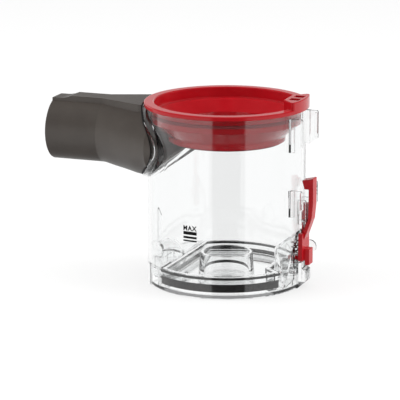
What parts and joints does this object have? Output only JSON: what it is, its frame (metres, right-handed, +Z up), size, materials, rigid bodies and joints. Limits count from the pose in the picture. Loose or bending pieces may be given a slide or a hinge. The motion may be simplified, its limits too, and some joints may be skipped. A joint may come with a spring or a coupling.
{
  "type": "cyclone dust bin",
  "caption": "Clear round vacuum dust bin with a flared side inlet, seated funnel collar, hinged base lid and sprung base catch; a cyclone pack drops in from above.",
  "frame": {"origin": "on the bin's axis, at the foot of the closed lid", "axes": "+Z up along the bin's axis, -X out of the inlet socket, +X towards the base catch and runner rails"},
  "size_m": [0.1931, 0.115, 0.1335],
  "materials": {
    "clear_plastic": "clear gloss",
    "red_plastic": "satin gloss",
    "grey_plastic": "fine satin",
    "black_rubber": "matt",
    "red_rubber": "matt",
    "black_plastic": "matt",
    "steel": "ground",
    "contact_brass": "bright"
  },
  "bodies": {
    "bin": {"bin_body": "clear_plastic", "collar": "red_plastic", "collar_seal": "red_rubber", "shroud_wiper": "red_rubber", "inlet_nozzle": "grey_plastic", "inlet_gasket": "black_rubber", "terminal_block": "black_plastic", "contact_left": "contact_brass", "contact_right": "contact_brass", "lid_hinge_pin": "steel", "catch_pin": "steel", "catch_spring": "steel"},
    "lid": {"base_lid": "clear_plastic", "lid_seal": "black_rubber", "lid_foot_seal": "black_rubber"},
    "catch": {"base_catch": "red_plastic"}
  },
  "joints": [
    {"name": "lid_hinge", "type": "hinge", "parent": "bin", "child": "lid", "pos_m": [-0.047, 0, 0.0034], "axis": [0, 1, 0], "range_deg": [0, 95]},
    {"name": "catch_slide", "type": "slide", "parent": "bin", "child": "catch", "axis": [0, 0, 1], "range_m": [0, 0.006], "stiffness_N_per_m": 350, "springref_m": -0.004, "deforming": ["catch_spring"]}
  ]
}
